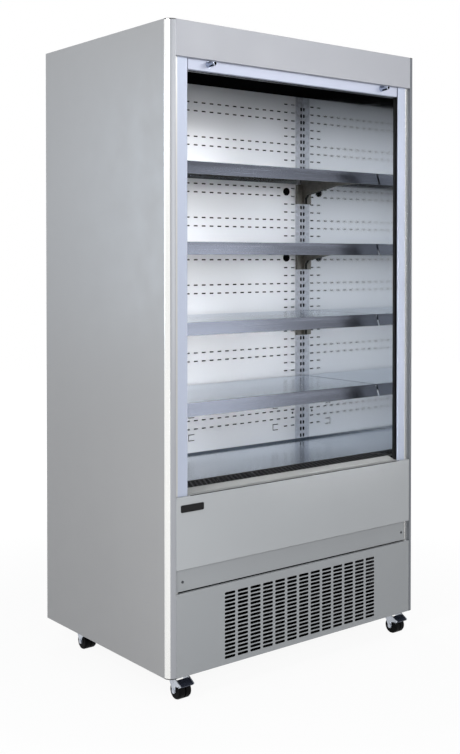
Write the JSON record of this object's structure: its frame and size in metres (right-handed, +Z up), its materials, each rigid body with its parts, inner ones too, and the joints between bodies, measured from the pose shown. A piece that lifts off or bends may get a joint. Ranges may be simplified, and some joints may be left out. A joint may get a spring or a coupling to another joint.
{
  "type": "open multideck display fridge",
  "caption": "Upright open-front display fridge on casters with lift-off shelves, slotted rear wall, roll-down night blind, perforated base grille and refrigeration set.",
  "frame": {"origin": "on the floor, under the middle of the box around the whole fridge", "axes": "+Z up, -Y towards the open front and the customer, +X to the right as seen from the front"},
  "size_m": [1, 0.709, 1.906],
  "materials": {
    "panel_paint": "satin grey powder coat",
    "front_steel": "satin silver-grey coated sheet",
    "anodised": "matt anodised extrusion",
    "rail_aluminium": "matt anodised extrusion",
    "stainless": "brushed stainless sheet",
    "polished_stainless": "bright polished stainless sheet",
    "bracket_zinc": "zinc plated",
    "black_plastic": "moulded, matt",
    "black_metal": "matt black coat",
    "galvanised": "galvanised sheet",
    "tub_lining": "white coated sheet over foam",
    "bright_chrome": "bright",
    "badge_black": "gloss",
    "blind_cloth": "woven, aluminised",
    "coil_fins": "plain fins",
    "copper_tube": "bare tube",
    "compressor_paint": "gloss black",
    "fan_plastic": "moulded, matt",
    "controller_grey": "moulded box",
    "wheel_rubber": "grey-black tread"
  },
  "bodies": {
    "cabinet": {"base_pan": "galvanised", "side_panel_left": "panel_paint", "side_panel_right": "panel_paint", "back_panel": "panel_paint", "roof_panel": "panel_paint", "insulated_tub": "tub_lining", "corner_profiles": "anodised", "profile_end_caps": "black_plastic", "fascia_panel": "front_steel", "riser_panel": "front_steel", "badge_plate": "badge_black", "screw_strip": "front_steel", "grille_panel": "front_steel", "panel_screws": "bright_chrome", "rear_service_cover": "galvanised", "front_posts": "anodised", "blind_guides": "anodised", "front_ledge": "stainless", "return_air_grille": "black_metal", "deck_tray": "stainless", "side_liners": "polished_stainless", "rear_panels": "stainless", "cable_grommets": "black_plastic", "shelf_uprights": "stainless", "canopy_ceiling": "black_metal", "air_honeycomb": "black_plastic", "shelf_brackets": "bracket_zinc", "blind_fabric": "blind_cloth", "condenser_coil": "coil_fins", "condenser_fan_shroud": "black_metal", "evaporator_coil": "coil_fins", "evaporator_fan_plate": "galvanised", "compressor": "compressor_paint", "refrigerant_lines": "copper_tube", "controller": "controller_grey", "caster_plates": "galvanised"},
    "night_blind": {"blind_bar": "rail_aluminium", "blind_knobs": "bright_chrome"},
    "blind_tube": {"blind_roller": "anodised"},
    "shelf_1": {"shelf_deck_1": "stainless", "price_rail_1": "rail_aluminium"},
    "shelf_2": {"shelf_deck_2": "stainless", "price_rail_2": "rail_aluminium"},
    "shelf_3": {"shelf_deck_3": "stainless", "price_rail_3": "rail_aluminium"},
    "shelf_4": {"shelf_deck_4": "stainless", "price_rail_4": "rail_aluminium"},
    "condenser_fan_rotor": {"condenser_fan": "fan_plastic"},
    "evaporator_fan_left_rotor": {"evaporator_fan_left": "fan_plastic"},
    "evaporator_fan_right_rotor": {"evaporator_fan_right": "fan_plastic"},
    "swivel_front_left": {"caster_fork_front_left": "galvanised"},
    "wheel_front_left": {"caster_wheel_front_left": "wheel_rubber"},
    "pedal_front_left": {"brake_pedal_front_left": "black_metal"},
    "swivel_front_right": {"caster_fork_front_right": "galvanised"},
    "wheel_front_right": {"caster_wheel_front_right": "wheel_rubber"},
    "pedal_front_right": {"brake_pedal_front_right": "black_metal"},
    "swivel_rear_left": {"caster_fork_rear_left": "galvanised"},
    "wheel_rear_left": {"caster_wheel_rear_left": "wheel_rubber"},
    "swivel_rear_right": {"caster_fork_rear_right": "galvanised"},
    "wheel_rear_right": {"caster_wheel_rear_right": "wheel_rubber"}
  },
  "joints": [
    {"name": "blind_drop", "type": "slide", "parent": "cabinet", "child": "night_blind", "axis": [0, 0, -1], "range_m": [0, 1.1927], "stiffness_N_per_m": 5, "springref_m": -4, "deforming": ["blind_fabric"]},
    {"name": "blind_tube_turn", "type": "hinge", "parent": "cabinet", "child": "blind_tube", "pos_m": [0, -0.2975, 1.832], "axis": [1, 0, 0], "range_deg": [0, 3600]},
    {"name": "shelf_1_lift_off", "type": "slide", "parent": "cabinet", "child": "shelf_1", "axis": [0, 0, 1], "range_m": [0, 0.03]},
    {"name": "shelf_2_lift_off", "type": "slide", "parent": "cabinet", "child": "shelf_2", "axis": [0, 0, 1], "range_m": [0, 0.03]},
    {"name": "shelf_3_lift_off", "type": "slide", "parent": "cabinet", "child": "shelf_3", "axis": [0, 0, 1], "range_m": [0, 0.03]},
    {"name": "shelf_4_lift_off", "type": "slide", "parent": "cabinet", "child": "shelf_4", "axis": [0, 0, 1], "range_m": [0, 0.03]},
    {"name": "condenser_fan_spin", "type": "hinge", "parent": "cabinet", "child": "condenser_fan_rotor", "pos_m": [0, -0.2115, 0.196], "axis": [0, 1, 0], "continuous": true},
    {"name": "evaporator_fan_left_spin", "type": "hinge", "parent": "cabinet", "child": "evaporator_fan_left_rotor", "pos_m": [-0.215, 0.0957, 0.49], "axis": [0, 1, 0], "continuous": true},
    {"name": "evaporator_fan_right_spin", "type": "hinge", "parent": "cabinet", "child": "evaporator_fan_right_rotor", "pos_m": [0.215, 0.0957, 0.49], "axis": [0, 1, 0], "continuous": true},
    {"name": "front_left_swivel", "type": "hinge", "parent": "cabinet", "child": "swivel_front_left", "pos_m": [-0.44, -0.2845, 0.07], "axis": [0, 0, 1], "continuous": true},
    {"name": "front_left_wheel_roll", "type": "hinge", "parent": "swivel_front_left", "child": "wheel_front_left", "pos_m": [-0.44, -0.3065, 0.025], "axis": [1, 0, 0], "continuous": true},
    {"name": "front_left_brake_press", "type": "hinge", "parent": "swivel_front_left", "child": "pedal_front_left", "pos_m": [-0.44, -0.33082, 0.04303], "axis": [1, 0, 0], "range_deg": [0, 6], "stiffness_Nm_per_rad": 0.6},
    {"name": "front_right_swivel", "type": "hinge", "parent": "cabinet", "child": "swivel_front_right", "pos_m": [0.44, -0.2845, 0.07], "axis": [0, 0, 1], "continuous": true},
    {"name": "front_right_wheel_roll", "type": "hinge", "parent": "swivel_front_right", "child": "wheel_front_right", "pos_m": [0.44, -0.3065, 0.025], "axis": [1, 0, 0], "continuous": true},
    {"name": "front_right_brake_press", "type": "hinge", "parent": "swivel_front_right", "child": "pedal_front_right", "pos_m": [0.44, -0.33082, 0.04303], "axis": [1, 0, 0], "range_deg": [0, 6], "stiffness_Nm_per_rad": 0.6},
    {"name": "rear_left_swivel", "type": "hinge", "parent": "cabinet", "child": "swivel_rear_left", "pos_m": [-0.44, 0.2245, 0.07], "axis": [0, 0, 1], "continuous": true},
    {"name": "rear_left_wheel_roll", "type": "hinge", "parent": "swivel_rear_left", "child": "wheel_rear_left", "pos_m": [-0.44, 0.2025, 0.025], "axis": [1, 0, 0], "continuous": true},
    {"name": "rear_right_swivel", "type": "hinge", "parent": "cabinet", "child": "swivel_rear_right", "pos_m": [0.44, 0.2245, 0.07], "axis": [0, 0, 1], "continuous": true},
    {"name": "rear_right_wheel_roll", "type": "hinge", "parent": "swivel_rear_right", "child": "wheel_rear_right", "pos_m": [0.44, 0.2025, 0.025], "axis": [1, 0, 0], "continuous": true}
  ],
  "couplings": [
    {"joint": "blind_tube_turn", "follows": "blind_drop", "rad_per_m": 52.6}
  ]
}
